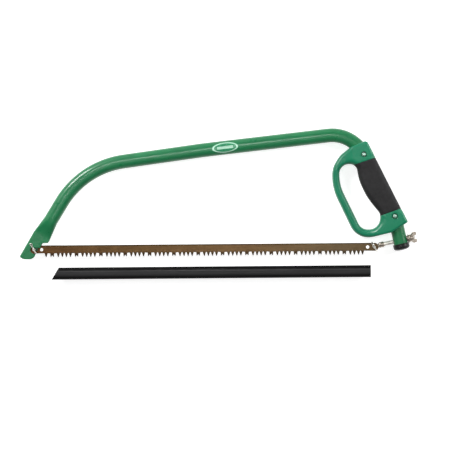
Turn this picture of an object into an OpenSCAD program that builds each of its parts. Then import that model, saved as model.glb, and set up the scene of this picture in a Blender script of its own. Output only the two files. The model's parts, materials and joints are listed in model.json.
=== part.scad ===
// Bow saw for 24 inch (607 mm) blades, with its slide-on blade guard.
// Plan coordinates are [along the blade, up towards the bow's back], measured from the front blade pin.
// The saw lies on its side: X runs along the blade to the handle, Y to the bow's back, Z across the saw.

/* [Blade] */
// Distance between the two blade pins
pin_span = 607; // [600:1:612]
// Depth of the blade from its back to the tooth tips
blade_depth = 20.9; // [18:0.1:22]
// Blade thickness
blade_t = 0.9; // [0.8:0.05:1.2]
// Depth of the teeth
tooth_depth = 6.5; // [5:0.1:8]
// Distance from one raker to the next
raker_pitch = 43.4; // [42:0.1:44]
// Diameter of the spare hole near each end
spare_hole_d = 5.9; // [5:0.1:6.5]

/* [Bow tube] */
// Width of the tube in the plane of the saw
tube_w = 25; // [24:0.5:26]
// Thickness of the tube across the saw
tube_t = 20; // [18:0.5:21]
// Wall of the tube
tube_wall = 1.5; // [1.2:0.1:2]
// Radius of the front bend, on the centreline
front_bend_r = 155; // [120:5:160]
// Radius of the bend above the handle, on the centreline
rear_bend_r = 63; // [55:1:66]
// Width of the flattened nose
nose_w = 32; // [30:0.5:33]
// Thickness of the flattened nose
nose_t = 7; // [6.5:0.5:9]

/* [Handle] */
// Thickness of the handle across the saw
handle_t = 33; // [32:0.5:38]
// Thickness of the knuckle guard across the saw
loop_t = 22; // [20:1:26]
// Wall of the moulded casing
casing_wall = 2.5; // [2:0.1:3]
// Rubber over the edge of the grip's core
grip_skin = 1.4; // [1:0.1:1.5]
// Rubber over the sides of the grip's core
grip_side = 3.2; // [2:0.1:3.6]
// Diameter of the recess around each screw head
screw_recess_d = 10.7; // [9:0.1:11.5]

/* [Tensioner] */
// Angle of the rod above the line of the blade
rod_angle = 12.4; // [12:0.1:13]
// Diameter of the threaded rod
rod_d = 8; // [8:1:8]
// Diameter of both blade pins
pin_d = 5; // [4.6:0.1:5.2]
// Span of the wing nut
wing_span = 32; // [28:1:32]
// Height of the wing nut
wing_h = 14; // [12:0.5:15]
// How far the wings are turned out of the plane of the saw
wing_turn = 57; // [40:1:65]

/* [Blade guard] */
// Height of the guard from its spine to its lips
guard_h = 21.4; // [20:0.1:23]
// Width of the slot for the blade
guard_slot = 4.5; // [4.2:0.1:5]
// Wall of the guard
guard_wall = 1.75; // [1.5:0.05:2]
// How far the guard lies below its place on the blade
guard_drop = 37.7; // [34:0.1:42]

/* [Hidden] */
$fn = 48;
EPS = 0.01;
RUN = 0.08;    // radial clearance of a running fit
SEAT = 0.05;   // radial clearance of parts that are pressed or clamped together
FREE = 0.3;    // clearance of parts that slide past each other

// The middle of the outline, seen from above, and the height of the saw's middle plane.
plan_centre = [328, 79];
mid_z = handle_t / 2;

// Corners of the tube's centreline, each with its bend radius.
leg_foot = [14.5, 25];
leg_flare = [30.7, 52.3];
tube_start = leg_flare + (leg_foot - leg_flare) * 0.003;
TUBE_PATH = [
    [tube_start.x, tube_start.y, 0],
    [88.3, 146.3, front_bend_r],
    [302, 174.9, 400],
    [570, 204.2, rear_bend_r],
    [643.5, 54.3, 80],
    [656.2, -3.4, 0],
];

// Blade
blade_back = 7.5;
blade_tip = blade_back - blade_depth;
blade_gullet = blade_tip + tooth_depth;
blade_nose = -6;
blade_end_r = blade_back - 0.1;
first_raker = 32.5;
last_gap = 12;
notch_slack = 5.2;

// Tensioner stack, measured along the rod from the rear pin
rod_rise = 1.2;
lug_start = 8.2;
lug_end = 17.4;
stub_at = 47.9;
saddle_t = 2.8;
saddle_d = 11.6;
washer_t = 1.3;
washer_d = 16;
nut_start = stub_at + tube_w / 2 + saddle_t - 1.1 + washer_t;
nut_hub_h = 8;
nut_hub_d = 13;
rod_end = nut_start + 10.5;
tongue_t = 3;
lug_d = 10;
rod_socket = 6;
tongue_top = -blade_t / 2 - 0.35;

// Cotter pins lie over the pins on this bearing.
cotter_angle = -62;
cotter_r = 1.2;
cotter_eye_r = 1.9;

// Handle screws stand on the centreline of the tube.
SCREWS = [[589.3, 164.8], [643.5, 54.3]];
screw_r = 2.2;
screw_head_r = 3.9;
recess_depth = 3.6;
nut_recess_r = 4.2;

// Guard
guard_t = guard_slot + 2 * guard_wall;
guard_seat_low = blade_tip - 2.6;
guard_seat = [19.7, 588.8];
guard_shift = [11.5, -guard_drop];
guard_slant = 12.8;

badge_at = [342.3, 179.3];
badge_size = [48.7, 18];
badge_t = 0.4;

// ---------- outlines ----------

function bearing(a, b) = atan2(b.y - a.y, b.x - a.x);
function flat(p) = [p.x, p.y];
function unit(a, b) = (flat(b) - flat(a)) / norm(flat(b) - flat(a));
function turn(a, b, c) =
    let (d = bearing(b, c) - bearing(a, b))
    d > 180 ? d - 360 : d < -180 ? d + 360 : d;

// Points of the arc that rounds corner b between a and c, with radius b[2].
function corner_arc(a, b, c, steps = 7) =
    let (t = turn(a, b, c), side = sign(t), r = b[2])
    let (start = flat(b) - unit(a, b) * r * tan(abs(t) / 2))
    let (centre = start + side * r * [-unit(a, b).y, unit(a, b).x])
    [for (i = [0:steps])
        centre + r * [sin(bearing(a, b) + t * i / steps), -cos(bearing(a, b) + t * i / steps)] * side];

// A closed outline with each corner rounded by its third number.
function rounded(pts) =
    let (n = len(pts))
    [for (i = [0:n - 1]) each corner_arc(pts[(i + n - 1) % n], pts[i], pts[(i + 1) % n])];

CASING = [
    [566, 178.5, 6], [594.5, 190, 6], [666.8, 44, 2.5], [637.4, 25.5, 10],
    [577.1, 11.5, 35], [533.2, 104.3, 100], [532.5, 141, 46], [546.8, 163.4, 46],
];
HAND_HOLE = [
    [584, 31.4, 18], [545.9, 110.8, 80], [545.6, 147.8, 17], [576, 147.8, 13],
    [580.8, 118.5, 90], [595, 88, 120], [617.8, 59.7, 10], [617.5, 31.4, 19.5],
];
GRIP_ZONE = [[568, 145.4], [616, 161.3], [664, 71.5], [608, 52]];
TOP_BLOCK = [[563, 140], [563, 196], [616, 196], [616, 161.3], [568, 145.4]];
BOTTOM_BLOCK = [[608, 52], [664, 71.5], [680, 40], [640, 10], [604, 10]];

module casing_outline() {
    difference() {
        polygon(rounded(CASING));
        polygon(rounded(HAND_HOLE));
    }
}

module zone(points) {
    intersection() {
        casing_outline();
        polygon(points);
    }
}

module oval(w, t) {
    straight = w - t;
    for (s = [-1, 1])
        translate([s * straight / 2, 0])
            circle(d = t);
    square([straight, t], center = true);
}

// ---------- placing ----------

module placed() {
    translate([-plan_centre.x, -plan_centre.y, mid_z])
        children();
}

// Turns a section drawn in [in-plane, across] to face along a bearing from a point.
module facing(at, angle) {
    translate([at.x, at.y, 0])
        rotate([0, 0, angle])
            rotate([90, 0, 90])
                children();
}

// Along the tension rod, from the foot of its line at the rear pin.
module along_rod(distance) {
    translate([pin_span, rod_rise, 0])
        rotate([0, 0, rod_angle])
            translate([distance, 0, 0])
                rotate([0, 90, 0])
                    children();
}

module upright(r, low, high) {
    translate([0, 0, low])
        cylinder(r = r, h = high - low);
}

// ---------- bow tube ----------

// A section swept along the tube's centreline: straight runs, true bends and a thin seam at each join.
module tube_sweep(w, t, path = TUBE_PATH, overrun = 0) {
    last = len(path) - 1;
    gap = 0.1;
    seam = 1;
    proud = 0.4;
    function half_turn(i) = abs(turn(path[i - 1], path[i], path[i + 1])) / 2;
    function reach(i) = i == 0 || i == last ? 0 : path[i][2] * tan(half_turn(i)) + gap;
    for (i = [0:last - 1]) {
        way = unit(path[i], path[i + 1]);
        extra = i == last - 1 ? overrun : 0;
        length = norm(flat(path[i + 1]) - flat(path[i])) - reach(i) - reach(i + 1) + extra;
        facing(flat(path[i]) + way * reach(i), bearing(path[i], path[i + 1]))
            linear_extrude(length)
                oval(w, t);
    }
    for (i = [1:last - 1]) {
        sweep = turn(path[i - 1], path[i], path[i + 1]);
        side = sign(sweep);
        way = unit(path[i - 1], path[i]);
        way_out = unit(path[i], path[i + 1]);
        start = flat(path[i]) - way * (reach(i) - gap);
        finish = flat(path[i]) + way_out * (reach(i) - gap);
        centre = start + side * path[i][2] * [-way.y, way.x];
        from = bearing(path[i - 1], path[i]) - 90 * side;
        translate([centre.x, centre.y, 0])
            rotate([0, 0, side > 0 ? from : from + sweep])
                rotate_extrude(angle = abs(sweep), $fn = 96)
                    translate([path[i][2], 0])
                        oval(w, t);
        facing(start - way * seam / 2, bearing(path[i - 1], path[i]))
            linear_extrude(seam)
                oval(w + proud, t + proud);
        facing(finish - way_out * seam / 2, bearing(path[i], path[i + 1]))
            linear_extrude(seam)
                oval(w + proud, t + proud);
    }
}

// The stretch where the tube is pressed from its oval section to the flat nose.
module nose_flare(inset) {
    way = bearing(leg_flare, leg_foot);
    lap = 0.2;
    hull($fn = 32) {
        facing(leg_flare, way)
            linear_extrude(EPS)
                oval(tube_w - 2 * inset + lap, tube_t - 2 * inset + lap);
        facing(leg_foot, way)
            linear_extrude(EPS)
                square([nose_w - 2 * inset, nose_t - 2 * inset], center = true);
    }
}

leg_across = [unit(leg_foot, leg_flare).y, -unit(leg_foot, leg_flare).x];
NOSE_LEFT = leg_foot - leg_across * nose_w / 2;
NOSE_RIGHT = leg_foot + leg_across * nose_w / 2;

// The nose below the flare: the side towards +Z is cut away around the pin, the other one holds it.
function nose_outline(cut_away) = concat(
    [
        [NOSE_RIGHT.x, NOSE_RIGHT.y, 0.5], [24.8, 11.8, 1], [15.2, 11.6, 3],
    ],
    cut_away
        ? [[10.6, 3, 1], [-6.2, 3, 1.5], [-6.6, -3, 4], [2.6, -10.6, 1.5]]
        : [[9.6, -3.9, 1.5], [4.6, -4.2, 2], [1.6, -10.6, 1.5]],
    [
        [-3.4, -17, 4], [-19.5, -17, 5], [-26.2, -12.2, 3], [NOSE_LEFT.x, NOSE_LEFT.y, 0.5],
    ]
);

// The gap between the pressed sides: shut along the front edge, open below and towards the blade.
module nose_gap() {
    way = unit(leg_foot, leg_flare);
    front = NOSE_LEFT + leg_across * tube_wall;
    rear = NOSE_RIGHT - leg_across * tube_wall;
    far = 40;
    mouth = [18.8, 10.2];
    shoulder = 1.2;
    linear_extrude(nose_t - 2 * tube_wall, center = true)
        polygon([
            front + way * EPS, front - way * 2 * far, [far, -far], [far, mouth.y],
            mouth, rear - way * shoulder, rear + way * EPS,
        ]);
}

module bow_tube() {
    color([0.2, 0.53, 0.36])
        placed()
            difference() {
                union() {
                    tube_sweep(tube_w, tube_t);
                    nose_flare(0);
                    linear_extrude(nose_t / 2)
                        polygon(rounded(nose_outline(true)));
                    translate([0, 0, -nose_t / 2])
                        linear_extrude(nose_t / 2)
                            polygon(rounded(nose_outline(false)));
                }
                tube_sweep(tube_w - 2 * tube_wall, tube_t - 2 * tube_wall, overrun = 1);
                nose_flare(tube_wall);
                nose_gap();
                upright(pin_d / 2 + SEAT, -nose_t, 0);
                for (at = SCREWS)
                    translate(at)
                        upright(screw_r + SEAT, -tube_t, tube_t);
                along_rod(stub_at - tube_w)
                    cylinder(d = rod_d + 2 * FREE, h = 2 * tube_w);
            }
}

// ---------- handle ----------

// One half of the casing, drawn on the +Z side.
module shell_half() {
    core_t = handle_t / 2 - grip_side;
    difference() {
        union() {
            linear_extrude(loop_t / 2)
                difference() {
                    casing_outline();
                    zone(GRIP_ZONE);
                }
            linear_extrude(handle_t / 2) {
                zone(TOP_BLOCK);
                zone(BOTTOM_BLOCK);
            }
            linear_extrude(core_t)
                intersection() {
                    offset(delta = -grip_skin)
                        casing_outline();
                    offset(delta = 2 * EPS)
                        polygon(GRIP_ZONE);
                }
        }
        translate([0, 0, -EPS])
            linear_extrude(loop_t / 2 - casing_wall)
                offset(delta = -casing_wall)
                    casing_outline();
        tube_sweep(tube_w + 2 * SEAT, tube_t + 2 * SEAT);
        for (at = SCREWS)
            translate(at)
                upright(screw_r + SEAT, 0, handle_t);
    }
}

module handle_shell_left() {
    color([0.16, 0.53, 0.39])
        placed()
            difference() {
                shell_half();
                for (at = SCREWS)
                    translate(at)
                        upright(screw_recess_d / 2, handle_t / 2 - recess_depth, handle_t);
            }
}

module handle_shell_right() {
    color([0.16, 0.53, 0.39])
        placed()
            difference() {
                mirror([0, 0, 1])
                    shell_half();
                for (at = SCREWS)
                    translate([at.x, at.y, -handle_t / 2 - EPS])
                        cylinder(r = nut_recess_r, h = recess_depth, $fn = 6);
            }
}

module grip_half() {
    difference() {
        linear_extrude(handle_t / 2 - FREE)
            zone(GRIP_ZONE);
        translate([0, 0, -EPS])
            linear_extrude(handle_t / 2 - grip_side + EPS)
                offset(delta = -grip_skin)
                    casing_outline();
    }
}

module grip_left() {
    color([0.13, 0.13, 0.13])
        placed()
            grip_half();
}

module grip_right() {
    color([0.13, 0.13, 0.13])
        placed()
            mirror([0, 0, 1])
                grip_half();
}

module handle_screws() {
    head_seat = handle_t / 2 - recess_depth;
    head_h = 2.6;
    slot_depth = 1.2;
    color([0.78, 0.78, 0.76])
        placed()
            for (at = SCREWS)
                translate(at)
                    difference() {
                        union() {
                            upright(screw_r, -handle_t / 2 + 0.6, head_seat + EPS);
                            upright(screw_head_r, head_seat, head_seat + head_h);
                        }
                        for (a = [45, 135])
                            rotate([0, 0, a])
                                translate([0, 0, head_seat + head_h])
                                    cube([4.2, 0.9, 2 * slot_depth], center = true);
                    }
}

module handle_nuts() {
    nut_h = 3;
    color([0.7, 0.7, 0.68])
        placed()
            for (at = SCREWS)
                translate([at.x, at.y, -handle_t / 2 + recess_depth - nut_h])
                    difference() {
                        cylinder(r = nut_recess_r - 0.15, h = nut_h - EPS, $fn = 6);
                        translate([0, 0, -EPS])
                            cylinder(r = screw_r + SEAT, h = nut_h + 1);
                    }
}

// ---------- tube fittings ----------

module end_cap() {
    foot = flat(TUBE_PATH[len(TUBE_PATH) - 1]);
    knee = flat(TUBE_PATH[len(TUBE_PATH) - 2]);
    cap_wall = 1.6;
    cap_floor = 2.6;
    cap_grip = 9;
    color([0.12, 0.12, 0.12])
        placed()
            facing(foot - unit(knee, foot) * cap_grip, bearing(knee, foot))
                difference() {
                    linear_extrude(cap_grip + cap_floor)
                        oval(tube_w + 2 * cap_wall, tube_t + 2 * cap_wall);
                    translate([0, 0, -EPS])
                        linear_extrude(cap_grip + EPS)
                            oval(tube_w + 2 * SEAT, tube_t + 2 * SEAT);
                }
}

module badge() {
    points = 40;
    way = bearing(TUBE_PATH[2], TUBE_PATH[3]);
    from = badge_at - [cos(way), sin(way)] * badge_size.x;
    color([0.9, 0.92, 0.9])
        placed()
            intersection() {
                facing(from, way)
                    linear_extrude(2 * badge_size.x)
                        difference() {
                            oval(tube_w + 2 * badge_t, tube_t + 2 * badge_t);
                            oval(tube_w + 2 * SEAT, tube_t + 2 * SEAT);
                        }
                translate([badge_at.x, badge_at.y, 0])
                    rotate([0, 0, way])
                        linear_extrude(tube_t)
                            polygon([for (i = [0:points - 1])
                                [badge_size.x / 2 * cos(360 * i / points),
                                 badge_size.y / 2 * sin(360 * i / points)]]);
            }
}

// A headed pin with a cross hole for its cotter.
module blade_pin(head_top, end, cotter_z) {
    head_h = 1.6;
    head_d = 8.4;
    difference() {
        union() {
            upright(pin_d / 2, head_top - EPS, end);
            upright(head_d / 2, head_top - head_h, head_top);
        }
        rotate([0, 0, cotter_angle])
            translate([-pin_d, 0, cotter_z])
                rotate([0, 90, 0])
                    cylinder(r = cotter_r + SEAT, h = 2 * pin_d);
    }
}

// A cotter lying along its bearing: an eye, a doubled shank and a split tail.
module cotter(cotter_z, before, after) {
    tail = 4;
    splay = 16;
    rotate([0, 0, cotter_angle])
        translate([0, 0, cotter_z])
            union() {
                translate([-before, 0, 0])
                    rotate([0, 90, 0])
                        cylinder(r = cotter_r, h = before + after);
                translate([-before - cotter_eye_r + 0.6, 0, 0])
                    rotate_extrude()
                        translate([cotter_eye_r, 0])
                            circle(r = 0.75, $fn = 24);
                for (s = [-1, 1])
                    translate([after, 0, 0])
                        rotate([0, 90, s * splay])
                            translate([0, s * 0.5, -1])
                                cylinder(r = 0.68, h = tail, $fn = 24);
            }
}

front_cotter_z = nose_t / 2 + cotter_r + SEAT;
rear_cotter_z = blade_t / 2 + cotter_r + 0.4;

module front_pin() {
    color([0.8, 0.79, 0.75])
        placed()
            blade_pin(-nose_t / 2 - SEAT, front_cotter_z + cotter_r + 0.9, front_cotter_z);
}

module front_cotter() {
    color([0.85, 0.84, 0.8])
        placed()
            cotter(front_cotter_z, 9, 5);
}

// ---------- tensioner ----------

module saddle_washer() {
    color([0.75, 0.74, 0.7])
        placed()
            difference() {
                along_rod(nut_start - washer_t - saddle_t)
                    cylinder(d = saddle_d, h = saddle_t);
                along_rod(stub_at)
                    rotate([90, 0, 0])
                        linear_extrude(2 * washer_d, center = true)
                            rotate([0, 0, 90])
                                oval(tube_w + 2 * SEAT, tube_t + 2 * SEAT);
                along_rod(stub_at)
                    cylinder(d = rod_d + 2 * FREE, h = 2 * tube_w);
            }
}

module flat_washer() {
    color([0.8, 0.79, 0.76])
        placed()
            along_rod(nut_start - washer_t + SEAT)
                difference() {
                    cylinder(d = washer_d, h = washer_t - FREE - SEAT);
                    translate([0, 0, -1])
                        cylinder(d = rod_d + 2 * FREE, h = washer_t + 2);
                }
}

module wing_nut() {
    wing_t = 3;
    reach = wing_span / 2;
    color([0.78, 0.76, 0.72])
        placed()
            along_rod(nut_start)
                rotate([0, 0, wing_turn])
                    difference() {
                        union() {
                            cylinder(d = nut_hub_d, h = nut_hub_h);
                            rotate([90, 0, 0])
                                linear_extrude(wing_t, center = true)
                                    for (s = [0, 1])
                                        mirror([0, s])
                                            mirror([s, 0])
                                                wing_outline(reach, s == 0);
                        }
                        translate([0, 0, -1])
                            cylinder(r = rod_d / 2 + RUN, h = wing_h + 2);
                    }
}

// One wing in [across the rod, along the rod].
module wing_outline(reach, right) {
    mirror([0, right ? 0 : 1])
        polygon(rounded([
            [4.4, 1.2, 0.1], [nut_hub_d / 2 + 1, 2.6, 3], [reach, 7.2, 2.6],
            [reach, wing_h, 2.9], [reach - 6.2, wing_h, 2.9], [4.4, 7.2, 0.1],
        ]));
}

module tension_rod() {
    color([0.82, 0.8, 0.76])
        placed()
            along_rod(lug_end - rod_socket)
                cylinder(d = rod_d - 2 * SEAT, h = rod_end - lug_end + rod_socket);
}

module blade_lug() {
    tongue_r = 6.2;
    neck_w = 8.4;
    color([0.72, 0.7, 0.66])
        placed()
            difference() {
                union() {
                    along_rod(lug_start)
                        cylinder(d = lug_d, h = lug_end - lug_start);
                    translate([pin_span, 0, tongue_top - tongue_t])
                        linear_extrude(tongue_t) {
                            circle(r = tongue_r);
                            rotate([0, 0, rod_angle])
                                translate([0, rod_rise - neck_w / 2])
                                    square([lug_start + 1, neck_w]);
                        }
                }
                translate([pin_span, 0, 0])
                    upright(pin_d / 2 + SEAT, -nose_t, nose_t);
                along_rod(lug_end - rod_socket)
                    cylinder(d = rod_d, h = 2 * rod_socket);
            }
}

module rear_pin() {
    color([0.8, 0.79, 0.75])
        placed()
            translate([pin_span, 0, 0])
                blade_pin(tongue_top - tongue_t - SEAT, rear_cotter_z + cotter_r + 0.9, rear_cotter_z);
}

module rear_cotter() {
    color([0.85, 0.84, 0.8])
        placed()
            translate([pin_span, 0, 0])
                cotter(rear_cotter_z, 6.5, 7);
}

// ---------- blade ----------

rakers = floor((pin_span - 2 * last_gap - first_raker) / raker_pitch) + 1;
tooth_pitch = raker_pitch / 6;

// A cutting tooth: a plain point with its own gullets.
function tooth(u) = [[u - 2.9, blade_gullet + 0.4], [u - 0.6, blade_tip], [u + 0.6, blade_tip],
    [u + 2.9, blade_gullet + 0.4]];

// A raker: a forked tooth, a little shorter, between deep gullets.
function raker(u) = [[u - 5.2, blade_gullet], [u - 3.6, blade_gullet], [u - 2.9, blade_tip + 0.5],
    [u - 1.9, blade_tip + 0.5], [u, blade_tip + 3.2], [u + 1.9, blade_tip + 0.5],
    [u + 2.9, blade_tip + 0.5], [u + 3.6, blade_gullet], [u + 5.2, blade_gullet]];

function tooth_row() = concat(
    tooth(first_raker - 1.5 * tooth_pitch),
    [for (i = [0:rakers - 1]) each concat(
        raker(first_raker + i * raker_pitch),
        [for (j = [0:3]) each tooth(first_raker + i * raker_pitch + tooth_pitch * (1.5 + j))])]
);

module blade() {
    color([0.42, 0.31, 0.19])
        placed()
            linear_extrude(blade_t, center = true)
                difference() {
                    union() {
                        polygon(concat(
                            [[pin_span, blade_gullet], [pin_span, blade_back]],
                            [[blade_nose + 2, blade_back], [blade_nose, blade_back - 2],
                             [blade_nose, -2.8], [blade_nose + 2, blade_gullet]],
                            tooth_row()
                        ));
                        intersection() {
                            translate([pin_span, 0])
                                circle(r = blade_end_r);
                            translate([pin_span - 1, blade_gullet])
                                square([20, blade_back - blade_gullet]);
                        }
                    }
                    translate([pin_span, 0])
                        circle(r = pin_d / 2 + RUN);
                    for (u = [13.6, pin_span - 12])
                        translate([u, 0])
                            circle(d = spare_hole_d);
                    hook_notch();
                }
}

// The open notch that hooks over the front pin, with room for the rod to slacken.
module hook_notch() {
    r = pin_d / 2 + FREE;
    ease = 0.6;
    circle(r = r);
    translate([notch_slack, 0])
        circle(r = r - ease);
    translate([-r, 0])
        square([notch_slack + 2 * r - ease, blade_back + 1]);
    translate([0, ease - r])
        square([notch_slack, r]);
}

// ---------- blade guard ----------

// The guard's section in [up from the spine, across].
module guard_section() {
    difference() {
        union() {
            translate([guard_t / 2, 0])
                circle(d = guard_t);
            translate([guard_t / 2, -guard_t / 2])
                square([guard_h - guard_t / 2, guard_t]);
        }
        translate([guard_wall + guard_slot / 2, 0])
            circle(d = guard_slot);
        translate([guard_wall + guard_slot / 2, -guard_slot / 2])
            square([guard_h, guard_slot]);
    }
}

module blade_guard() {
    length = guard_seat[1] - guard_seat[0];
    low = [guard_seat[0] + guard_shift.x, guard_seat_low + guard_shift.y];
    over = 1;
    rake = guard_slant / guard_h;
    color([0.16, 0.16, 0.16])
        placed()
            difference() {
                facing(low, 0)
                    linear_extrude(length)
                        guard_section();
                linear_extrude(2 * guard_t, center = true)
                    polygon([
                        low + [-guard_slant, -over], low + [-over * rake, -over],
                        low + [guard_slant + over * rake, guard_h + over],
                        low + [-guard_slant, guard_h + over],
                    ]);
            }
}

bow_tube();
handle_shell_left();
handle_shell_right();
grip_left();
grip_right();
handle_screws();
handle_nuts();
end_cap();
badge();
front_pin();
front_cotter();
saddle_washer();
flat_washer();
wing_nut();
tension_rod();
blade_lug();
rear_pin();
rear_cotter();
blade();
blade_guard();
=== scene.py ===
import json
import math

import bmesh
import bpy
import numpy as np
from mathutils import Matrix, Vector, geometry

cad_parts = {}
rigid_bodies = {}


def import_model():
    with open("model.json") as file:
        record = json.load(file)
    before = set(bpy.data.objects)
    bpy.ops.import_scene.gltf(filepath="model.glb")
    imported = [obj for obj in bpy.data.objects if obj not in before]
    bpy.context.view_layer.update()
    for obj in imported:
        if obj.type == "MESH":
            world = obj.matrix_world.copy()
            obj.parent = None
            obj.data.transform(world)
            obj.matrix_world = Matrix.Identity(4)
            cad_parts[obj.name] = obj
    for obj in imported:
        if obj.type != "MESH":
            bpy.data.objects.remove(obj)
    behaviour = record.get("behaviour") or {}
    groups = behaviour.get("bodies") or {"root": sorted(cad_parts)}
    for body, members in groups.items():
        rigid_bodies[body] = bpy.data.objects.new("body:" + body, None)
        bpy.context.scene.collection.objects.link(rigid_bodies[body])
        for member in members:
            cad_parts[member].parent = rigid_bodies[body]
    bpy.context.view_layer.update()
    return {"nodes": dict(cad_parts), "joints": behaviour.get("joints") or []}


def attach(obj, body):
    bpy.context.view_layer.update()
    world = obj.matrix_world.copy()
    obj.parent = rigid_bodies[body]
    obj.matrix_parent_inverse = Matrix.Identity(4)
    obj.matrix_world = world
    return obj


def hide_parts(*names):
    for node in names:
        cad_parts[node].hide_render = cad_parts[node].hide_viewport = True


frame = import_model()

# Plan coordinates, as in the CAD: millimetres from the front blade pin, u along the blade,
# v towards the bow's back, w up from the saw's middle plane.
joints = {joint["name"]: joint for joint in frame["joints"]}
PIN_SPAN = 607.0
REAR_PIN = joints["blade_swing"]["pos_m"]
ROD_ANGLE = math.radians(12.4)
ROD_RISE = 1.2
Z_AXIS = np.array([0.0, 0.0, 1.0])


def at(u, v, w=0.0):
    """The place in the frame, in metres, of a point in plan coordinates."""
    return (REAR_PIN[0] + (u - PIN_SPAN) / 1000, REAR_PIN[1] + v / 1000, REAR_PIN[2] + w / 1000)


def along_rod(s, x=0.0, y=0.0):
    """A point at s along the tension rod, x across it in the saw's plane and y up."""
    c, d = math.cos(ROD_ANGLE), math.sin(ROD_ANGLE)
    return (PIN_SPAN + s * c - x * d, ROD_RISE + s * d + x * c, y)


# ---------- outlines ----------

def unit(a, b):
    """The direction from a to b."""
    return (b - a) / np.linalg.norm(b - a)


def smooth(value, low, high):
    """Rises smoothly from 0 at low to 1 at high."""
    t = np.clip((value - low) / (high - low), 0, 1)
    return t * t * (3 - 2 * t)


def corner_arc(a, b, c, radius, steps):
    """Points of the arc that rounds corner b, with the directions along it."""
    way_in, way_out = unit(a, b), unit(b, c)
    angle = math.atan2(way_in[0] * way_out[1] - way_in[1] * way_out[0], way_in @ way_out)
    side = 1 if angle > 0 else -1
    start = b - way_in * radius * math.tan(abs(angle) / 2)
    centre = start + side * radius * np.array([-way_in[1], way_in[0]])
    out = []
    for i in range(steps + 1):
        t = angle * i / steps
        spin = np.array([[math.cos(t), -math.sin(t)], [math.sin(t), math.cos(t)]])
        out.append((centre + spin @ (start - centre), spin @ way_in))
    return out


def rounded(corners, steps=12):
    """A closed outline with each corner rounded by its third number."""
    points, n = [np.array(c[:2], float) for c in corners], len(corners)
    arcs = [corner_arc(points[i - 1], points[i], points[(i + 1) % n], corners[i][2], steps) for i in range(n)]
    return np.array([p for arc in arcs for p, _ in arc])


def resample(line, spacing, closed=True):
    """The same line with points at an even spacing."""
    line = np.asarray(line, float)
    if closed:
        line = np.vstack([line, line[:1]])
    reach = np.concatenate([[0], np.cumsum(np.linalg.norm(np.diff(line, axis=0), axis=1))])
    count = max(2, round(reach[-1] / spacing))
    want = np.linspace(0, reach[-1], count + 1)
    if closed:
        want = want[:-1]
    return np.column_stack([np.interp(want, reach, line[:, k]) for k in range(2)])


def circle(centre, radius, count=32, first=0.0, last=360.0):
    """Points of a circle, or of its arc between two angles in degrees."""
    angles = np.radians(np.linspace(first, last, count, endpoint=last - first < 360))
    return np.column_stack([centre[0] + radius * np.cos(angles), centre[1] + radius * np.sin(angles)])


def inside(points, loop):
    """Which of the points lie inside a closed loop."""
    x, y = points[:, :1], points[:, 1:]
    a, b = loop, np.roll(loop, -1, axis=0)
    rise = np.where(a[:, 1] == b[:, 1], 1e-12, b[:, 1] - a[:, 1])
    crosses = (a[:, 1] > y) != (b[:, 1] > y)
    return (crosses & (x < a[:, 0] + (y - a[:, 1]) * (b[:, 0] - a[:, 0]) / rise)).sum(axis=1) % 2 == 1


def distance(points, line, closed=True):
    """How far each point is from a line of points."""
    a = line if closed else line[:-1]
    d = (np.roll(line, -1, axis=0) if closed else line[1:]) - a
    t = ((points[:, None] - a) * d).sum(-1) / np.maximum((d * d).sum(-1), 1e-12)
    near = a + np.clip(t, 0, 1)[..., None] * d
    return np.linalg.norm(points[:, None] - near, axis=-1).min(axis=1)


def inset(loop, gap, sign):
    """Points of a loop moved to its left (sign 1) or its right (-1)."""
    way = np.roll(loop, -1, axis=0) - np.roll(loop, 1, axis=0)
    way /= np.linalg.norm(way, axis=1)[:, None]
    return loop + gap * sign * np.column_stack([-way[:, 1], way[:, 0]])


def counterclockwise(loop):
    """The loop, turned round if it runs clockwise."""
    nxt = np.roll(loop, -1, axis=0)
    return loop if (loop[:, 0] * nxt[:, 1] - loop[:, 1] * nxt[:, 0]).sum() > 0 else loop[::-1]


def grid(low, high, step):
    """A staggered grid of points over a box."""
    rows = []
    for i, y in enumerate(np.arange(low[1], high[1], step * 0.87)):
        xs = np.arange(low[0] + (i % 2) * step / 2, high[0], step)
        rows.append(np.column_stack([xs, np.full(len(xs), y)]))
    return np.vstack(rows)


# ---------- solids ----------

def skin(rings, ends=True):
    """Verts and faces of a surface through rings of points; without ends, the last ring joins the first."""
    n, count = len(rings[0]), len(rings)
    faces = []
    for i in range(count - (1 if ends else 0)):
        a, b = i * n, (i + 1) % count * n
        faces += [(a + k, a + (k + 1) % n, b + (k + 1) % n, b + k) for k in range(n)]
    if ends:
        faces += [tuple(range(n))[::-1], tuple(range((count - 1) * n, count * n))]
    return [tuple(p) for ring in rings for p in ring], faces


def lathe(profile, place, steps=40, ends=True):
    """Turns a profile of (distance, radius) about an axis."""
    return skin([[place(s, r * math.cos(t), r * math.sin(t))
                  for t in (2 * math.pi * k / steps for k in range(steps))] for s, r in profile], ends)


def wire(path, radius):
    """A round wire along a flat path of (x, y, z) points."""
    path, rings, sides = np.array(path, float), [], 12
    for i, p in enumerate(path):
        way = unit(path[max(i - 1, 0)], path[min(i + 1, len(path) - 1)])
        side = np.cross(Z_AXIS, way)
        r = radius * (0.72 if i in (0, len(path) - 1) else 1)
        rings.append([p + r * (math.cos(t) * side + math.sin(t) * Z_AXIS)
                      for t in (2 * math.pi * k / sides for k in range(sides))])
    return skin(rings)


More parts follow.
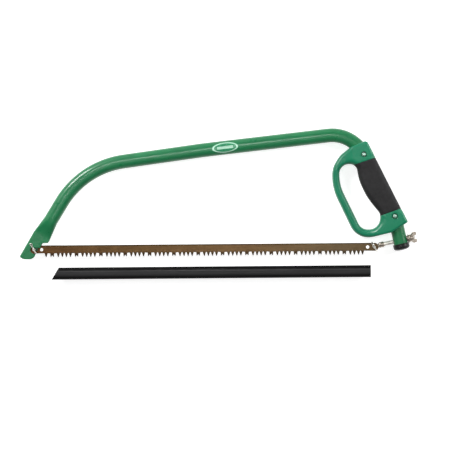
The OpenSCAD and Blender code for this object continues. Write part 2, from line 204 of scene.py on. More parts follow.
def slab(loops, chains, points, top, bottom, keep=None, lip=0.0, side=1):
    """A closed solid over the region inside the first loop and outside the others: its upper and
    lower faces follow two functions of the place, and lip bevels the lower edge. side -1 turns it over."""
    verts, edges = [], []
    for line, closed in [(loop, True) for loop in loops] + [(chain, False) for chain in chains]:
        first, n = len(verts), len(line)
        verts += [tuple(p) for p in line]
        edges += [(first + i, first + (i + 1) % n) for i in range(n if closed else n - 1)]
    verts += [tuple(p) for p in points]
    flat, _, faces, *_ = geometry.delaunay_2d_cdt([Vector(p) for p in verts], edges, [], 0, 1e-5)
    flat, tris = np.array([tuple(p) for p in flat]), np.array([f for f in faces if len(f) == 3])
    middle = flat[tris].mean(axis=1)
    good = inside(middle, loops[0])
    for hole in loops[1:]:
        good &= ~inside(middle, hole)
    if keep is not None:
        good &= keep(middle)
    tris = tris[good]
    a, b, c = (flat[tris[:, k]] for k in range(3))
    area = (b[:, 0] - a[:, 0]) * (c[:, 1] - a[:, 1]) - (b[:, 1] - a[:, 1]) * (c[:, 0] - a[:, 0])
    tris[area < 0] = tris[area < 0][:, ::-1]
    used, tris = np.unique(tris, return_inverse=True)
    tris, flat = tris.reshape(-1, 3), flat[used]
    directed = {(int(t[k]), int(t[(k + 1) % 3])) for t in tris for k in range(3)}
    rim = [(p, q) for p, q in directed if (q, p) not in directed]
    inward = np.zeros_like(flat)
    for p, q in rim:
        way = unit(flat[p], flat[q])
        inward[[p, q]] += np.array([-way[1], way[0]])
    inward /= np.maximum(np.linalg.norm(inward, axis=1), 1e-9)[:, None]
    n, high, low = len(flat), top(flat), bottom(flat)
    floor = flat + inward * lip
    solid = np.vstack([np.column_stack([flat, side * high]), np.column_stack([floor, side * low]),
                       np.column_stack([flat, side * (low + lip)])])
    out = [tuple(int(k) for k in t) for t in tris] + [tuple(int(k) + n for k in t[::-1]) for t in tris]
    for p, q in rim:
        if lip:
            out += [(p, p + 2 * n, q + 2 * n, q), (p + 2 * n, p + n, q + n, q + 2 * n)]
        else:
            out.append((p, p + n, q + n, q))
    return [tuple(p) for p in solid], out


def joined(*solids):
    """Several solids as one list of verts and faces."""
    verts, faces = [], []
    for more_verts, more_faces in solids:
        faces += [tuple(k + len(verts) for k in face) for face in more_faces]
        verts += more_verts
    return verts, faces


def mesh_of(name, solid):
    """A clean mesh, in the frame's metres, of a solid in plan coordinates."""
    verts, faces = solid
    mesh = bpy.data.meshes.new(name)
    mesh.from_pydata([at(*p) for p in verts], [], faces)
    bm = bmesh.new()
    bm.from_mesh(mesh)
    bmesh.ops.remove_doubles(bm, verts=bm.verts, dist=1e-6)
    bmesh.ops.dissolve_degenerate(bm, edges=bm.edges, dist=1e-7)
    bmesh.ops.delete(bm, geom=[p for p in bm.verts if not p.link_faces], context="VERTS")
    bmesh.ops.recalc_face_normals(bm, faces=bm.faces)
    bm.to_mesh(mesh)
    bm.free()
    return mesh


def shade(mesh, sharp):
    """Smooth shading, with edges left sharp from an angle in degrees up."""
    for polygon in mesh.polygons:
        polygon.use_smooth = True
    mesh.set_sharp_from_angle(angle=math.radians(sharp))


def piece(name, solid, body, material, replaces=(), sharp=35):
    """One piece of the looks: it rides on a body and may stand for CAD nodes."""
    mesh = solid if isinstance(solid, bpy.types.Mesh) else mesh_of(name, solid)
    mesh.name = name
    shade(mesh, sharp)
    obj = bpy.data.objects.new(name, mesh)
    bpy.context.scene.collection.objects.link(obj)
    obj.data.materials.append(material)
    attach(obj, body)
    if replaces:
        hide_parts(*replaces)
    return obj


def carved(name, solid, cutters):
    """A mesh with the cutters taken out of it."""
    scene = bpy.context.scene.collection.objects
    base = bpy.data.objects.new(name, mesh_of(name, solid))
    scene.link(base)
    helpers = []
    for i, cutter in enumerate(cutters):
        tool = bpy.data.objects.new(f"{name}_cutter_{i}", mesh_of("cutter", cutter))
        scene.link(tool)
        helpers.append(tool)
        cut = base.modifiers.new("cut", "BOOLEAN")
        cut.operation, cut.object, cut.solver = "DIFFERENCE", tool, "EXACT"
    mesh = bpy.data.meshes.new_from_object(base.evaluated_get(bpy.context.evaluated_depsgraph_get()))
    for obj in helpers + [base]:
        bpy.data.objects.remove(obj)
    mesh.materials.clear()
    return mesh


# ---------- materials ----------

def set_stops(ramp, stops):
    """Gives a colour ramp its stops, each a position and a colour."""
    while len(ramp.elements) < len(stops):
        ramp.elements.new(0.5)
    for element, (position, colour) in zip(ramp.elements, stops):
        element.position, element.color = position, (*colour, 1)


def grey(level):
    return (level, level, level)


class Nodes:
    """A material's node tree, written as calls."""

    def __init__(self, name):
        self.material = bpy.data.materials.new(name)
        self.material.use_nodes = True
        self.tree = self.material.node_tree
        self.shader = self.tree.nodes["Principled BSDF"]
        self.place = self.tree.nodes.new("ShaderNodeTexCoord").outputs["Object"]

    def set(self, **values):
        for key, value in values.items():
            self.shader.inputs[key.replace("_", " ")].default_value = value
        return self

    def link(self, source, target):
        self.tree.links.new(source, target)

    def put(self, socket, value):
        if hasattr(value, "links"):
            self.link(value, socket)
        else:
            socket.default_value = value

    def mapped(self, scale):
        node = self.tree.nodes.new("ShaderNodeMapping")
        node.inputs["Scale"].default_value = scale
        self.link(self.place, node.inputs["Vector"])
        return node.outputs["Vector"]

    def noise(self, scale, detail=3.0, stretch=(1, 1, 1), rough=0.5):
        node = self.tree.nodes.new("ShaderNodeTexNoise")
        node.inputs["Scale"].default_value = scale
        node.inputs["Detail"].default_value = detail
        node.inputs["Roughness"].default_value = rough
        self.link(self.mapped(stretch), node.inputs["Vector"])
        return node.outputs["Fac"]

    def cells(self, scale):
        node = self.tree.nodes.new("ShaderNodeTexVoronoi")
        node.inputs["Scale"].default_value = scale
        self.link(self.place, node.inputs["Vector"])
        return node.outputs["Distance"]

    def axis(self, source, which):
        node = self.tree.nodes.new("ShaderNodeSeparateXYZ")
        self.link(source, node.inputs["Vector"])
        return node.outputs[which]

    def math(self, operation, a, b=0.0):
        node = self.tree.nodes.new("ShaderNodeMath")
        node.operation = operation
        for socket, value in zip(node.inputs, (a, b)):
            self.put(socket, value)
        return node.outputs["Value"]

    def span(self, value, low, high, to_low=0.0, to_high=1.0):
        node = self.tree.nodes.new("ShaderNodeMapRange")
        for key, number in (("Value", value), ("From Min", low), ("From Max", high),
                            ("To Min", to_low), ("To Max", to_high)):
            self.put(node.inputs[key], number)
        return node.outputs["Result"]

    def ramp(self, value, stops):
        node = self.tree.nodes.new("ShaderNodeValToRGB")
        set_stops(node.color_ramp, stops)
        self.link(value, node.inputs["Fac"])
        return node.outputs["Color"]

    def blend(self, amount, a, b, kind="MIX"):
        node = self.tree.nodes.new("ShaderNodeMix")
        node.data_type, node.blend_type = "RGBA", kind
        self.put(node.inputs["Factor"], amount)
        for name, value in (("A", a), ("B", b)):
            socket = [s for s in node.inputs if s.name == name and s.type == "RGBA"][0]
            self.put(socket, value if hasattr(value, "links") else (*value, 1))
        return [s for s in node.outputs if s.type == "RGBA"][0]

    def bump(self, height, distance, strength=1.0, under=None):
        node = self.tree.nodes.new("ShaderNodeBump")
        node.inputs["Strength"].default_value = strength
        node.inputs["Distance"].default_value = distance
        self.link(height, node.inputs["Height"])
        if under is not None:
            self.link(under, node.inputs["Normal"])
        return node.outputs["Normal"]

    def done(self, colour=None, rough=None, normal=None):
        for key, value in (("Base Color", colour), ("Roughness", rough), ("Normal", normal)):
            if value is not None:
                self.link(value, self.shader.inputs[key])
        return self.material


def shades(colour, *factors):
    """The same colour, darker or lighter by each factor."""
    return [tuple(min(1.0, c * f) for c in colour) for f in factors]


def enamel(name, colour, scuff):
    """Sprayed gloss paint: slight orange peel, uneven tone, fine pale scuffs."""
    n = Nodes(name).set(Coat_Weight=0.3, Coat_Roughness=0.1, Specular_IOR_Level=0.3)
    dark, light = shades(colour, 0.88, 1.1)
    tone = n.ramp(n.noise(38, 4), [(0.3, dark), (0.7, light)])
    streak = n.span(n.noise(260, 5, (0.12, 1, 1), 0.7), 0.66, 0.74)
    tone = n.blend(n.math("MULTIPLY", streak, 0.3), tone, scuff)
    rough = n.span(n.noise(120, 4), 0.3, 0.7, 0.26, 0.42)
    peel = n.bump(n.noise(620, 2), 0.00008, 0.35)
    return n.done(tone, rough, peel)


def moulded(name, colour, gloss, grain):
    """Moulded plastic: even colour, a fine spark texture and slight flow marks."""
    n = Nodes(name).set(Specular_IOR_Level=0.4)
    dark, light = shades(colour, 0.9, 1.07)
    tone = n.ramp(n.noise(24, 3), [(0.32, dark), (0.68, light)])
    rough = n.span(n.noise(90, 3), 0.3, 0.7, gloss - 0.05, gloss + 0.07)
    fine = n.bump(n.noise(1900, 2), 0.00004, grain)
    flow = n.bump(n.noise(55, 2, (0.5, 1, 1)), 0.0003, 0.12, fine)
    return n.done(tone, rough, flow)


def metal(name, colour, gloss):
    """Plated steel: uneven sheen, cloudy plating and a little tarnish."""
    n = Nodes(name).set(Metallic=1.0)
    dark, light = shades(colour, 0.8, 1.12)
    tone = n.ramp(n.noise(300, 4), [(0.3, dark), (0.7, light)])
    tarnish = n.span(n.noise(140, 5, rough=0.65), 0.52, 0.68)
    tone = n.blend(n.math("MULTIPLY", tarnish, 0.3), tone, (0.25, 0.2, 0.15))
    rough = n.span(n.noise(420, 4), 0.3, 0.7, gloss - 0.08, gloss + 0.14)
    return n.done(tone, rough, n.bump(n.noise(900, 3), 0.00005, 0.4))


green = enamel("tube_enamel", (0.012, 0.156, 0.057), (0.12, 0.3, 0.18))
casing = moulded("casing_plastic", (0.004, 0.182, 0.088), 0.34, 0.2)
black_plastic = moulded("cap_plastic", (0.009, 0.0095, 0.0095), 0.3, 0.5)
zinc = metal("zinc_plate", (0.44, 0.385, 0.325), 0.4)
bright_zinc = metal("bright_zinc", (0.9, 0.87, 0.82), 0.42)
pin_steel = metal("pin_steel", (0.78, 0.76, 0.7), 0.28)
# The screw and nut steel is tinted mint green: a painted reflection of the green casing around it.
screw_steel = metal("screw_steel", (0.56, 0.78, 0.68), 0.46)


def rubber():
    """Soft grip rubber: matt, with a pebbled skin and a slightly uneven tone."""
    n = Nodes("grip_rubber").set(Specular_IOR_Level=0.35)
    dark, light = (0.0095, 0.009, 0.0098), (0.0155, 0.0148, 0.0158)
    tone = n.ramp(n.noise(45, 4), [(0.3, dark), (0.72, light)])
    rough = n.span(n.noise(160, 3), 0.3, 0.7, 0.62, 0.8)
    pebbles = n.bump(n.cells(1250), 0.00022, 0.45)
    return n.done(tone, rough, n.bump(n.noise(90, 3), 0.0006, 0.2, pebbles))


def blade_steel():
    """Tempered spring steel: brown oxide with rolling streaks, a dark back edge and dark teeth."""
    n = Nodes("blade_steel").set(Metallic=0.5, Specular_IOR_Level=0.3)
    along = n.axis(n.place, "X")
    up = n.axis(n.place, "Y")
    left, right = at(0, 0)[0], at(PIN_SPAN, 0)[0]
    tone = n.ramp(n.span(along, left, right), [
        (0.0, (0.111, 0.05, 0.014)), (0.3, (0.136, 0.075, 0.026)),
        (0.62, (0.169, 0.098, 0.04)), (0.9, (0.155, 0.108, 0.055)), (1.0, (0.132, 0.085, 0.04))])
    streaks = n.ramp(n.noise(900, 5, (0.02, 1, 1), 0.65), [(0.3, (0.72, 0.7, 0.68)), (0.7, (1.2, 1.2, 1.2))])
    tone = n.blend(0.8, tone, streaks, "MULTIPLY")
    cloud = n.ramp(n.noise(34, 4), [(0.3, (0.86, 0.84, 0.8)), (0.7, (1.1, 1.1, 1.12))])
    tone = n.blend(1.0, tone, cloud, "MULTIPLY")
    back = n.span(up, at(0, 4.6)[1], at(0, 7.0)[1])
    tone = n.blend(n.math("MULTIPLY", back, 0.78), tone, (0.02, 0.012, 0.006))
    teeth = n.span(up, at(0, -4.6)[1], at(0, -8.8)[1])
    tone = n.blend(n.math("MULTIPLY", teeth, 0.8), tone, (0.022, 0.013, 0.007))
    rough = n.span(n.noise(700, 4, (0.03, 1, 1)), 0.3, 0.7, 0.36, 0.56)
    return n.done(tone, rough, n.bump(n.noise(1400, 3, (0.02, 1, 1)), 0.00004, 0.4))


GUARD_LOW, GUARD_HEIGHT = -53.7, 21.4  # the guard's spine at rest, and how far its lips stand above it


def guard_plastic():
    """Extruded black plastic: satin, with die lines along it and a few grey rubs; painted light and shade up
    its side, paler on the flat side and near black at the lip and lower taper.
    """
    n = Nodes("guard_plastic").set(Specular_IOR_Level=0.15)
    up = n.span(n.axis(n.place, "Y"), at(0, GUARD_LOW)[1], at(0, GUARD_LOW + GUARD_HEIGHT)[1])
    # Painted light and shade: from the spine up, these stops darken the spine, the lower taper and the lip,
    # and lighten the flat side with a painted highlight near its top.
    painted_light_and_shade_bands = [(0.0, 0.016), (0.07, 0.018), (0.15, 0.002), (0.22, 0.007), (0.3, 0.024), (0.5, 0.03),
             (0.62, 0.024), (0.67, 0.044), (0.71, 0.044), (0.74, 0.0008)]
    tone = n.ramp(up, [(place, grey(level)) for place, level in painted_light_and_shade_bands])
    cloud = n.ramp(n.noise(60, 4, (0.1, 1, 1)), [(0.3, (0.75, 0.75, 0.77)), (0.72, (1.2, 1.2, 1.22))])
    tone = n.blend(1.0, tone, cloud, "MULTIPLY")
    rubs = n.span(n.noise(500, 5, (0.015, 1, 1), 0.7), 0.6, 0.75)
    tone = n.blend(n.math("MULTIPLY", rubs, 0.15), tone, (0.12, 0.12, 0.12))
    rough = n.span(n.noise(220, 3, (0.06, 1, 1)), 0.3, 0.7, 0.3, 0.44)
    return n.done(tone, rough, n.bump(n.noise(1500, 3, (0.01, 1, 1)), 0.00006, 0.5))


# ---------- bow tube ----------

TUBE_W, TUBE_T, NOSE_W, NOSE_T = 25.0, 20.0, 32.0, 7.0
LEG_FOOT, LEG_FLARE = np.array([14.5, 25.0]), np.array([30.7, 52.3])  # where the nose widens to the tube
FLARE_RINGS = 15
SLIGHT_BEND = 400  # the radius of the bow's faint bend, which needs few steps
RING_GAP = 5
TUBE_CORNERS = [
    (30.65, 52.22, 0), (88.3, 146.3, 155), (302, 174.9, SLIGHT_BEND),
    (570, 204.2, 63), (643.5, 54.3, 80), (656.2, -3.4, 0),
]


def tube_path():
    """Points and directions along the tube's centreline, from the flare to the cap."""
    corners = [np.array(c[:2], float) for c in TUBE_CORNERS]
    stations = [(corners[0], unit(corners[0], corners[1]))]
    for i in range(1, len(corners) - 1):
        steps = 8 if TUBE_CORNERS[i][2] == SLIGHT_BEND else 26
        arc = corner_arc(corners[i - 1], corners[i], corners[i + 1], TUBE_CORNERS[i][2], steps)
        before = stations[-1][0]
        length = np.linalg.norm(arc[0][0] - before)
        count = max(1, int(length // RING_GAP))
        for k in range(1, count):
            stations.append((before + (arc[0][0] - before) * k / count, arc[0][1]))
        stations += arc
    stations.append((corners[-1], unit(corners[-2], corners[-1])))
    return stations


def oval(width, thick, steps=14):
    """A flat oval section in [across, up]."""
    out = []
    for centre, first in (((width - thick) / 2, -90), (-(width - thick) / 2, 90)):
        for k in range(steps + 1):
            t = math.radians(first + 180 * k / steps)
            out.append((centre + thick / 2 * math.cos(t), thick / 2 * math.sin(t)))
    return out


def ring_at(point, way, section):
    """A section set square across a path."""
    across = np.array([-way[1], way[0]])
    return [(*(point + across * x), y) for x, y in section]


def bow_sweep():
    """The flare behind the nose and the whole tube, as one sweep of oval rings."""
    rings, leg = [], unit(LEG_FOOT, LEG_FLARE)
    for i in range(FLARE_RINGS):
        f = i / FLARE_RINGS
        ease = smooth(f, 0.0, 1.0)
        rings.append(ring_at(LEG_FOOT + (LEG_FLARE - LEG_FOOT) * f, leg,
                             oval(NOSE_W + (TUBE_W - NOSE_W) * f, NOSE_T + (TUBE_T - NOSE_T) * ease)))
    rings += [ring_at(point, way, oval(TUBE_W, TUBE_T)) for point, way in tube_path()]
    return skin(rings)


def nose_half(front):
    """One pressed side of the nose: rounded over the fold at the bow's front edge."""
    leg = unit(LEG_FOOT, LEG_FLARE)
    across = np.array([leg[1], -leg[0]])
    left, right = LEG_FOOT - across * NOSE_W / 2, LEG_FOOT + across * NOSE_W / 2
    tuck = leg * 0.6
    corners = [(*(right + tuck), 0.3), (*right, 0.5), (24.8, 11.8, 1), (15.2, 11.6, 3)]
    if front:
        corners += [(10.6, 3, 1), (-6.2, 3, 1.5), (-6.6, -3, 3.5), (2.6, -10.6, 1.5)]
    else:
        corners += [(9.6, -3.9, 1.5), (4.6, -4.2, 2), (1.6, -10.6, 1.5)]
    fold_end = np.array([-25.9, -12.2])
    corners += [(-3.4, -17, 11), (-19.5, -17, 15), (*fold_end, 2.5), (*(left + tuck), 0.3)]
    outline = counterclockwise(resample(rounded(corners), 0.8))
    fold = np.array([fold_end - unit(fold_end, left) * 6, left + tuck * 3])
    rim = outline[(distance(outline, fold, False) > 2.5)
                  & (distance(outline, np.array([left + tuck, right + tuck]), False) > 1.2)]
    way = unit(fold[0], fold[1])
    inwards = np.array([way[1], -way[0]])
    spots = [grid((-30, -20), (32, 42), 2.4)]
    spots += [resample(fold, 1.2, False) + inwards * gap for gap in (0.15, 0.5, 1.1, 1.6, 2.2, 2.8, 3.5)]
    spots += [inset(outline, 0.25, 1), inset(outline, 0.55, 1)]
    spots = np.vstack(spots)
    spots = spots[inside(spots, outline)]
    spots = spots[distance(spots, outline) > 0.12]

    def top(p):
        d = np.clip(distance(p, fold, False), 0, NOSE_T / 2)
        z = np.sqrt(np.maximum((NOSE_T / 2) ** 2 - (NOSE_T / 2 - d) ** 2, 0.09))
        edge = np.clip(1 - distance(p, rim, False) / 0.55, 0, 1)
        return z - 0.4 * edge ** 2 * (d > 3)

    def bottom(p):
        return 2.0 * smooth(distance(p, fold, False), 1.6, 2.2)

    def skin_top(p):
        return np.maximum(top(p), bottom(p) + 0.3)

    return slab([outline], [], spots, skin_top, bottom, side=1 if front else -1)


ROD_HOLE = [(22.0, 4.3), (74.0, 4.3)]  # distance along the rod and radius, beyond both of the stub's walls
tube_mesh = carved("bow", bow_sweep(), [lathe(ROD_HOLE, along_rod, 32)])
bm = bmesh.new()
bm.from_mesh(tube_mesh)
for half in (True, False):
    bm.from_mesh(mesh_of("nose", nose_half(half)))
bm.to_mesh(tube_mesh)
bm.free()
piece("bow_frame_tube", tube_mesh, "frame", green, ["bow_tube"])

# ---------- handle ----------

CASING = [(566, 178.5, 6), (594.5, 190, 6), (666.8, 44, 2.5), (637.4, 25.5, 10),
          (577.1, 11.5, 35), (533.2, 104.3, 100), (532.5, 141, 46), (546.8, 163.4, 46)]
HAND_HOLE = [(584, 31.4, 18), (545.9, 110.8, 80), (545.6, 147.8, 17), (576, 147.8, 13),
             (580.8, 118.5, 90), (595, 88, 120), (617.8, 59.7, 10), (617.5, 31.4, 19.5)]
GRIP_ZONE = np.array([(568, 145.4), (616, 161.3), (664, 71.5), (608, 52)])
CUTS = [np.array([(548.0, 138.8), (632.0, 166.6)]), np.array([(594.0, 47.1), (682.0, 77.8)])]
SCREWS = np.array([(589.3, 164.8), (643.5, 54.3)])
HANDLE_HALF, LOOP_HALF = 16.5, 11.0
RECESS_R, RECESS_DEPTH, NUT_R = 5.35, 3.6, 4.2
OUTER = counterclockwise(resample(rounded(CASING, 20), 1.5))
HOLE = counterclockwise(resample(rounded(HAND_HOLE, 20), 1.5))


def edge_distance(p):
    """How far each point is from the casing's outer outline or its hand opening."""
    return np.minimum(distance(p, OUTER), distance(p, HOLE))


def cut_distance(p):
    """How far each point is from the two lines between casing and grip."""
    return np.minimum(distance(p, CUTS[0], False), distance(p, CUTS[1], False))


def hexagon(p):
    """The corner radius of the hexagon through each point."""
    faces = [np.array([math.cos(t), math.sin(t)]) for t in np.radians([30, 90, 150])]
    return np.max([np.abs(p @ face) for face in faces], axis=0) / math.cos(math.pi / 6)


def pocket(p, side):
    """How far each point is cut down for the screw recess (side 1) or the nut pocket (side -1)."""
    depth = np.zeros(len(p))
    for centre in SCREWS:
        if side > 0:
            r = np.linalg.norm(p - centre, axis=1)
            depth += RECESS_DEPTH * (1 - smooth(r, RECESS_R - 0.2, RECESS_R))
            depth += 0.3 * np.clip(1 - (r - RECESS_R) / 0.45, 0, 1) * (r >= RECESS_R)
        else:
            depth += RECESS_DEPTH * (1 - smooth(hexagon(p - centre), NUT_R, NUT_R + 0.15))
    return depth


def handle_points():
    """Rings beside the outlines and cuts, rings about the screws, and a grid between."""
    spots = []
    for gap in (0.12, 0.4, 0.9, 1.7, 2.8, 4.1, 5.6, 7.3, 9.2):
        for loop, sign in ((OUTER, 1), (HOLE, -1)):
            ring = inset(loop, gap, sign)
            spots.append(ring[edge_distance(ring) > gap * 0.97])
    for cut in CUTS:
        line, way = resample(cut, 1.3, False), unit(cut[0], cut[1])
        spots += [line + np.array([-way[1], way[0]]) * gap for gap in (-1.0, -0.5, 0.5, 1.0)]
    mesh = grid((530, 8), (672, 194), 2.3)
    mesh = mesh[(edge_distance(mesh) > 9.8) & (cut_distance(mesh) > 1.6)]
    spots = np.vstack(spots + [mesh])
    spots = spots[(inside(spots, OUTER)) & ~inside(spots, HOLE) & (edge_distance(spots) > 0.1)]
    for centre in SCREWS:
        spots = spots[np.linalg.norm(spots - centre, axis=1) > 6.6]
    return spots


def screw_points(side):
    """Rings about each screw recess (side 1), or hexagons about each nut pocket (side -1)."""
    spots = []
    for centre in SCREWS:
        if side > 0:
            for r in (6.3, RECESS_R + 0.45, RECESS_R, RECESS_R - 0.2, 4.2, 2.4):
                spots.append(circle(centre, r, 40 if r > 4.5 else 18))
        else:
            spots.append(circle(centre, 6.0, 30))
            for size in (NUT_R + 0.15, NUT_R, 2.6):
                corners = circle(centre, size, 6)
                spots.append(resample(corners, size / 6, True))
        spots.append(centre[None])
    return np.vstack(spots)


HANDLE_SPOTS = handle_points()


def profile(p, half, round_d, round_z):
    """Half thickness of a rounded edge section at each point."""
    reach = np.clip(edge_distance(p) / round_d, 0, 1)
    return half - round_z + round_z * np.sqrt(np.maximum(1 - (1 - reach) ** 2, 0))


def shell_top(p, side):
    """The casing's height: thick blocks at the grip's ends (block 1) and a thin knuckle guard (block 0)."""
    u, v = p[:, 0], p[:, 1]
    block = np.maximum(smooth(u, 553, 571) * (v > 100), smooth(u, 594, 614) * (v < 100))
    near_grip = 1 - smooth(cut_distance(p), 1.0, 9.0)
    near_hole = smooth(distance(p, OUTER) - distance(p, HOLE), -3.0, 3.0)
    half = LOOP_HALF + (HANDLE_HALF - LOOP_HALF) * block
    round_z = 9.8 + (4.0 + 5.0 * near_hole - 9.8) * block
    round_d = 5.2 + (4.2 + 5.3 * near_hole - 5.2) * block
    round_z += (10.4 - round_z) * near_grip * block
    round_d += (8.6 - round_d) * near_grip * block
    z = profile(p, half, round_d, round_z)
    z -= 0.5 * np.clip(1 - cut_distance(p) / 0.9, 0, 1)
    return z - pocket(p, side)


def grip_top(p):
    """The rubber's height, a little under the casing's and dipped beside it."""
    z = profile(p, HANDLE_HALF - 0.25, 8.6, 10.4)
    return z - 0.6 * np.clip(1 - cut_distance(p) / 1.1, 0, 1)


def in_grip(p):
    return inside(p, GRIP_ZONE)


chains = [resample(cut, 1.3, False) for cut in CUTS]
rubber_material = rubber()
for word, side in (("left", 1), ("right", -1)):
    spots = np.vstack([HANDLE_SPOTS, screw_points(side)])
    shell = slab([OUTER, HOLE], chains, spots, lambda p: shell_top(p, side), lambda p: np.zeros(len(p)),
                 keep=lambda p: ~in_grip(p), lip=0.45, side=side)
    piece(f"casing_{word}", shell, "frame", casing, [f"handle_shell_{word}"], sharp=42)
    grip = slab([OUTER, HOLE], chains, HANDLE_SPOTS, grip_top, lambda p: np.zeros(len(p)),
                keep=in_grip, lip=0.35, side=side)
    piece(f"grip_rubber_{word}", grip, "frame", rubber_material, [f"grip_{word}"], sharp=42)

# ---------- screws, nuts and cap ----------


def upright_at(u, v):
    """Places for a lathe whose axis stands up at a plan point."""
    return lambda s, x, y: (u + x, v + y, s)


def screw(centre):
    """A pan-head screw with a cross recess."""
    seat, head, r = HANDLE_HALF - RECESS_DEPTH, 2.6, 3.9
    dome = [(seat + head * math.sin(t), r * (0.35 + 0.65 * math.cos(t)))
            for t in (math.radians(a) for a in (25, 40, 55, 70, 82))]
    body = lathe([(-HANDLE_HALF + 0.6, 2.0), (-HANDLE_HALF + 1.0, 2.2), (seat + 0.01, 2.2), (seat, r - 0.2),
                  (seat + 0.2, r)] + dome, upright_at(*centre), 36)
    cross = []
    for a in (45, 135):
        c, s = math.cos(math.radians(a)), math.sin(math.radians(a))
        box = [(centre[0] + x * c - y * s, centre[1] + x * s + y * c)
               for x, y in ((-2.2, -0.45), (2.2, -0.45), (2.2, 0.45), (-2.2, 0.45))]
        cross.append(skin([[(*p, seat + 1.2) for p in box], [(*p, seat + 4) for p in box]]))
    return carved("screw", body, cross)


def nut(centre):
    """A hexagonal nut with a bore, lying in its pocket."""
    low = -HANDLE_HALF + RECESS_DEPTH - 3
    rings = []
    for s, r in ((0.0, 2.25), (0.0, 3.4), (0.35, 4.05), (2.6, 4.05), (2.95, 3.4), (2.95, 2.25)):
        rings.append([(centre[0] + r * math.cos(t), centre[1] + r * math.sin(t), low + s)
                      for t in (math.pi * k / 3 for k in range(6))])
    return skin(rings, False)


bm = bmesh.new()
for centre in SCREWS:
    bm.from_mesh(screw(centre))
screws_mesh = bpy.data.meshes.new("screws")
bm.to_mesh(screws_mesh)
bm.free()
piece("casing_screws", screws_mesh, "frame", screw_steel, ["handle_screws"], sharp=30)
nuts = joined(*[nut(centre) for centre in SCREWS])
piece("casing_nuts", nuts, "frame", screw_steel, ["handle_nuts"], sharp=25)


def end_cap():
    """A moulded cap pushed over the tube's end: lip bead, straight skirt and rounded floor."""
    foot, knee = (np.array(TUBE_CORNERS[k][:2], float) for k in (-1, -2))
    way = unit(knee, foot)
    w, t = TUBE_W + 4.4, TUBE_T + 3.2
    stations = [(-9, 0.88), (-9, 0.975), (-8.6, 1), (-7.4, 1), (-7.0, 0.98), (-6.6, 0.98), (-3.2, 1)]
    stations += [(-3.2 + 5.7 * x, (1 - x ** 2.5) ** 0.4)
                 for x in (0.15, 0.3, 0.42, 0.54, 0.65, 0.74, 0.82, 0.88, 0.93, 0.97, 0.99)]
    return skin([ring_at(foot + way * s, way, oval(w * k, t * k, 16)) for s, k in stations])


piece("tube_cap", end_cap(), "frame", black_plastic, ["end_cap"])

# ---------- badge ----------

BADGE_AT, BADGE_SIZE = np.array([342.3, 179.3]), (48.7, 18.0)
badge_way = math.atan2(TUBE_CORNERS[3][1] - TUBE_CORNERS[2][1], TUBE_CORNERS[3][0] - TUBE_CORNERS[2][0])


def badge_solid():
    """A thin oval film that follows the tube's rounded top."""
    def spot(f, t, lift):
        x, y = f * BADGE_SIZE[0] / 2 * math.cos(t), f * BADGE_SIZE[1] / 2 * math.sin(t)
        flank = max(0.0, abs(y) - (TUBE_W - TUBE_T) / 2)
        z = math.sqrt((TUBE_T / 2) ** 2 - flank ** 2)
        c, s = math.cos(badge_way), math.sin(badge_way)
        return (BADGE_AT[0] + x * c - y * s, BADGE_AT[1] + x * s + y * c, z + lift)
    rings = [[spot(f, 2 * math.pi * k / 64, lift) for k in range(64)]
             for f, lift in ((0.05, 0.38), (0.2, 0.38), (0.4, 0.38), (0.6, 0.38), (0.8, 0.38), (0.95, 0.38),
                             (0.985, 0.34), (1.0, 0.2), (1.0, -0.3), (0.5, -0.6), (0.05, -0.6))]
    return skin(rings)


def badge_film():
    """A plain oval label: pale rim, green field and one pale stripe."""
    n = Nodes("badge_film").set(Roughness=0.25, Specular_IOR_Level=0.5)
    place = at(*BADGE_AT)
    turn = n.tree.nodes.new("ShaderNodeMapping")
    turn.vector_type = "TEXTURE"
    turn.inputs["Location"].default_value = (place[0], place[1], 0)
    turn.inputs["Rotation"].default_value = (0, 0, badge_way)
    n.link(n.place, turn.inputs["Vector"])
    x = n.math("DIVIDE", n.axis(turn.outputs["Vector"], "X"), BADGE_SIZE[0] / 2000)
    y = n.math("DIVIDE", n.axis(turn.outputs["Vector"], "Y"), BADGE_SIZE[1] / 2000)
    r = n.math("SQRT", n.math("ADD", n.math("MULTIPLY", x, x), n.math("MULTIPLY", y, y)))
    ring = n.math("MULTIPLY", n.span(r, 0.8, 0.84), n.span(r, 0.97, 0.94))
    along, across = n.math("ABSOLUTE", x), n.math("ABSOLUTE", y)
    stripe = n.math("MULTIPLY", n.span(along, 0.6, 0.57), n.span(across, 0.28, 0.22))
    pale = n.math("MAXIMUM", ring, n.math("MULTIPLY", stripe, 0.75))
    tone = n.ramp(n.noise(90, 3), [(0.3, (0.024, 0.2, 0.09)), (0.7, (0.034, 0.25, 0.115))])
    tone = n.blend(pale, tone, (0.42, 0.7, 0.54))
    return n.done(tone, n.span(n.noise(300, 3), 0.3, 0.7, 0.2, 0.34), n.bump(n.noise(500, 2), 0.00005, 0.2))


piece("oval_badge", badge_solid(), "frame", badge_film(), ["badge"])

# ---------- pins and cotters ----------


def headed_pin(u, head_top, end):
    """A blade pin: its head underneath, its chamfered end on top."""
    return lathe([(head_top - 1.6, 3.5), (head_top - 1.35, 4.0), (head_top - 0.9, 4.2), (head_top - 0.2, 4.2),
                  (head_top, 4.0), (head_top, 2.5), (end - 0.5, 2.5), (end, 2.0)], upright_at(u, 0))


